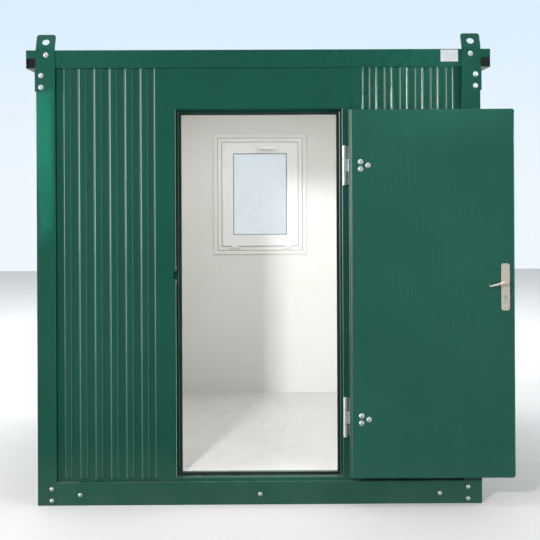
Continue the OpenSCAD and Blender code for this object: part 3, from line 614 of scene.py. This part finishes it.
def frame_beads():
    """The sloping folds of the door frame: one beside the seal, one along the edge of the rebate."""
    gap, width, high, low = 0.0005, 0.006, 0.0039, 0.0004
    inward, outward, slope, deep = 0.0018, 0.0010, 0.0019 / 0.0028, 0.004
    lip, notch_clear = 0.004, 0.024
    bm = bmesh.new()
    ring_round(bm, seal_low, seal_high, gap + width, width, seal_high[1], high, low)
    edge_x = -front_face("door_jamb_left")[1][0]
    edge_low, edge_high = front_face("door_threshold")[1][2] + lip, front_face("door_head")[0][2] - lip
    notch = (latch_low[2] - notch_clear, latch_high[2] + notch_clear)
    # Points of the fold: out from the rebate's edge, and back from the face of the jamb
    section = ((outward, 0.0), (outward, -slope * outward), (-inward, slope * inward), (-inward, deep),
               (0.0, deep))
    for side, start, end in ((-1, edge_low, notch[0]), (-1, notch[1], edge_high), (1, edge_low, edge_high)):
        profile = [(side * (edge_x + out), jamb_front + back, start) for out, back in section]
        folded_strip(bm, profile, (0.0, 0.0, end - start))
    profile = [(-edge_x, jamb_front + back, edge_high + out) for out, back in section]
    folded_strip(bm, profile, (2 * edge_x, 0.0, 0.0))
    finish_piece(bm, "frame_beads", "cabin", "green_paint")


def jamb_ribs():
    """The sloping side of the rib beside each jamb, bent softly into the jamb's face."""
    # Points of the section: out from the panel's edge, and back from the crests of its ribs
    foot, bend, corner, lap = (Vector(point) for point in (
        (0.0095, 0.0100), (0.0060, 0.0046), (0.0030, -0.0004), (-0.0025, -0.0004)))
    steps = 6
    curve = [bend.lerp(corner, t).lerp(corner.lerp(lap, t), t)
             for t in (step / steps for step in range(steps + 1))]
    section = [foot, *curve, (lap.x, foot.y)]
    edge_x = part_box("front_wall_left")[1][0]
    low, high = front_face("front_wall_left")
    bm = bmesh.new()
    for side in (-1, 1):
        profile = [(side * (out - edge_x), low[1] + back, low[2]) for out, back in section]
        folded_strip(bm, profile, (0.0, 0.0, high[2] - low[2]))
    finish_piece(bm, "jamb_ribs", "cabin", "green_paint")


def door_keep():
    """Zinc keep plates above and below the notch that takes the latch."""
    wide, tall, thick, fold, screw = 0.022, 0.026, 0.0015, 0.0005, 0.008
    behind_seal, set_back, clear = 0.0155, 0.010, 0.010
    bm = bmesh.new()
    wall_x, front_y = -(seal_high[0] + behind_seal), jamb_front + set_back
    for z in (latch_low[2] - clear - tall, latch_high[2] + clear):
        block(bm, (wall_x, front_y, z), (wall_x + thick, front_y + wide, z + tall), fold)
        stamp(bm, pan_screw, (wall_x + thick, front_y + wide / 2, z + tall / 2), RIGHT, screw)
    finish_piece(bm, "door_keep", "cabin", "zinc_plate")


# Window trim

def window_gaskets_and_shadow_line():
    """Grey gaskets round the glass and the sash, and a grey ring round the frame that is a painted shadow
    line where the frame meets the trim.
    """
    bearing, bead, bead_t = 0.010, 0.004, 0.006
    gap, gap_back, gap_t = 0.0025, 0.010, 0.003
    shadow_line, shadow_line_back, shadow_line_t = 0.0015, 0.006, 0.0055
    glass_low, glass_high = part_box("window_glass")
    sash_low, sash_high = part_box("window_sash")
    frame_low, frame_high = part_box("window_frame")
    bm = bmesh.new()
    ring_round(bm, glass_low, glass_high, -bearing, bead, glass_low[1], bead_t)
    ring_round(bm, sash_low, sash_high, gap, gap, sash_low[1] + gap_back, gap_t)
    # Painted shadow: a grey ring on the face round the frame's outer edge, for the shadow line between
    # frame and trim.
    ring_round(bm, frame_low, frame_high, shadow_line, 2 * shadow_line, frame_low[1] + shadow_line_back, shadow_line_t)
    finish_piece(bm, "window_gaskets_and_shadow_line", "cabin", "rubber_seal", gasket_and_shadow_grey)


def window_hinges():
    """The two hinges under the sash: a plate on the frame and a knuckle that laps the sash."""
    # Lowest and highest corners from the bottom of the sash, and the fold
    plate = ((-0.032, 0.001, -0.016), (0.032, 0.010, -0.004), 0.002)
    knuckle = ((-0.020, -0.006, -0.012), (0.020, 0.004, 0.006), 0.0028)
    hinges_x = (-0.168, 0.184)
    sash_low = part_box("window_sash")[0]
    bm = bmesh.new()
    for x in hinges_x:
        middle = Vector((x, sash_low[1], sash_low[2]))
        for low, high, fold in (plate, knuckle):
            block(bm, middle + Vector(low), middle + Vector(high), fold)
    finish_piece(bm, "window_hinges", "cabin", "white_pvc")


# Lock trim

def lock_trim():
    """Screws in the ends of both escutcheons, and a black block in each end of the cylinder that is painted
    shade for its keyway.
    """
    screw, screw_in = 0.008, 0.014
    key_down, key_wide, key_tall, key_t, proud, fold = 0.0085, 0.0018, 0.0090, 0.0010, 0.0003, 0.0003
    plates_low, plates_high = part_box("door_escutcheons")
    cylinder_low, cylinder_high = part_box("lock_cylinder")
    middle_x = (plates_low[0] + plates_high[0]) / 2
    screws = bmesh.new()
    for y, outward in ((plates_low[1], FRONT), (plates_high[1], REAR)):
        for z in (plates_low[2] + screw_in, plates_high[2] - screw_in):
            stamp(screws, pan_screw, (middle_x, y, z), outward, screw)
    finish_piece(screws, "escutcheon_screws", "door", "handle_steel")
    # Painted shade: thin black blocks stand in for the dark slot of each keyway.
    keyway_shades = bmesh.new()
    key_half = Vector((key_wide, key_t, key_tall)) / 2
    for y in (cylinder_low[1] - proud, cylinder_high[1] + proud):
        middle = Vector((middle_x, y, cylinder_high[2] - key_down))
        block(keyway_shades, middle - key_half, middle + key_half, fold)
    finish_piece(keyway_shades, "keyway_shades", "door", "rubber_seal", painted_shade_black)


frame_bolts()
label_place()
eaves_shade_plugs()
frame_beads()
jamb_ribs()
door_keep()
window_gaskets_and_shadow_line()
window_hinges()
lock_trim()
hinge_fasteners()


# Studio and camera

def plain_stage():
    """A pale floor that runs back to a plain pale backdrop, darker round the front of the cabin."""
    wide, deep, middle_y, below = 13.0, 20.0, 2.75, 0.0005
    bm = bmesh.new()
    bmesh.ops.create_grid(
        bm, x_segments=1, y_segments=1, size=0.5,
        matrix=Matrix.Translation((0.0, middle_y, -below)) @ Matrix.Diagonal((wide, deep, 1.0, 1.0)))
    mesh = bpy.data.meshes.new("stage_floor")
    bm.to_mesh(mesh)
    bm.free()
    floor = bpy.data.objects.new("stage_floor", mesh)
    bpy.context.scene.collection.objects.link(floor)
    material, tree, surface, place = new_material("stage_pale", Roughness=0.85)
    back = add(tree, "ShaderNodeSeparateXYZ", {0: place}).outputs[1]
    pale = math_node(
        tree, "MAXIMUM", remap(tree, back, -3.0, 4.0, 0.0, 0.9), remap(tree, back, -4.2, -5.4, 0.0, 0.9))
    clouds = math_node(tree, "MULTIPLY", noise(tree, place, 0.6, detail=2.0), 0.1)
    tone = math_node(tree, "ADD", pale, clouds)
    color = mix(tree, tone, srgb(150, 150, 149), srgb(250, 249, 248))
    tree.links.new(color, surface.inputs["Base Color"])
    mesh.materials.append(material)
    floor.visible_glossy = False


def soft_box(name, place, aim, size, power, mirrored=True, spread=180.0):
    """A flat lamp; a mirrored one shows in glossy paint, and spread is the angle of its beam."""
    light = bpy.data.lights.new(name, "AREA")
    light.shape = "RECTANGLE"
    light.size, light.size_y = size
    light.energy = power
    light.spread = math.radians(spread)
    lamp = bpy.data.objects.new(name, light)
    lamp.visible_glossy = mirrored
    lamp.location = place
    lamp.rotation_euler = (Vector(aim) - Vector(place)).to_track_quat("-Z", "Y").to_euler()
    bpy.context.scene.collection.objects.link(lamp)


def pale_world():
    """A pale sky-blue backdrop; what lights the paint is pale behind the cabin and dim before it."""
    world = bpy.data.worlds.new("pale_backdrop")
    world.use_nodes = True
    tree = world.node_tree
    look = add(tree, "ShaderNodeTexCoord").outputs["Generated"]
    way = add(tree, "ShaderNodeSeparateXYZ", {0: look}).outputs
    seen = mix(tree, remap(tree, way[2], -0.01, 0.14), srgb(240, 248, 255), srgb(220, 239, 254))
    front_or_rear = mix(tree, remap(tree, way[1], -0.35, 0.45), srgb(122, 128, 130), srgb(226, 234, 240))
    around = mix(tree, remap(tree, way[2], 0.90, 0.99), front_or_rear, srgb(246, 250, 253))
    lit = mix(tree, remap(tree, way[2], -0.30, 0.10), srgb(92, 98, 98), around)
    straight = add(tree, "ShaderNodeLightPath").outputs["Is Camera Ray"]
    tree.links.new(mix(tree, straight, lit, seen), tree.nodes["Background"].inputs["Color"])
    bpy.context.scene.world = world


def photo_camera():
    """The photo's camera: level, with its picture shifted down, turned and rolled a little."""
    place, turn_deg, roll_deg = (0.0185, -6.3584, 1.5308), -0.369, -0.256
    camera = bpy.data.cameras.new("photo_view")
    camera.lens = 74.39
    camera.sensor_width = 36.0
    camera.shift_y = -0.1658
    viewer = bpy.data.objects.new("photo_view", camera)
    level = Matrix.Rotation(math.radians(turn_deg), 4, "Z") @ Matrix.Rotation(math.radians(90), 4, "X")
    roll = Matrix.Rotation(math.radians(roll_deg), 4, "Z")
    viewer.matrix_world = Matrix.Translation(place) @ level @ roll
    bpy.context.scene.collection.objects.link(viewer)
    bpy.context.scene.camera = viewer


# The light on the left fades downwards, so that the lines on the ribs do too: middle, height and power
SIDE_LEFT = ((1.95, 2.1, 237.0), (0.45, 0.9, 53.0), (-0.4, 0.8, 22.0), (-1.3, 1.0, 15.0))


def lamps():
    """Large lamps at the sides and overhead, and narrow ones for the lines on the frame and the panels."""
    soft_box("key_left", (-1.43, -5.6, 2.66), (0.25, 0.0, 1.0), (0.45, 0.45), 290.0, mirrored=False)
    for step, (middle, height, power) in enumerate(SIDE_LEFT):
        soft_box(f"side_left_{step}", (-5.0, -2.9, middle), (0.0, -1.6, middle), (4.0, height), power)
    soft_box("side_right", (5.0, -2.9, 0.6), (0.0, -1.6, 0.6), (4.0, 4.8), 60.0)
    soft_box("frame_strip", (5.0, -3.7, 0.6), (-0.39, -1.05, 0.6), (0.5, 4.8), 45.0)
    soft_box("post_strip", (-1.9, -4.6, 1.7), (-1.005, -1.085, 1.60), (0.03, 0.7), 0.80,
             mirrored=False, spread=1.0)
    soft_box("panel_right", (2.2, -2.2, 2.0), (0.72, -1.07, 2.04), (0.3, 0.5), 0.8, spread=16.0)
    soft_box("front_strip", (0.0, -1.2, 6.0), (0.0, -1.2, 0.0), (4.0, 1.0), 140.0)
    soft_box("fill_right", (3.4, -5.0, 1.6), (0.7, -1.0, 1.3), (1.0, 1.0), 140.0, mirrored=False)
    soft_box("overhead", (0.0, 3.5, 6.0), (0.0, 3.5, 0.0), (9.0, 6.0), 330.0)
    soft_box("room_light", (0.1, -0.1, 2.04), (0.1, 0.0, 0.0), (1.5, 1.5), 16.0, mirrored=False)


plain_stage()
pale_world()
lamps()
photo_camera()
bpy.context.scene.view_settings.view_transform = "Standard"
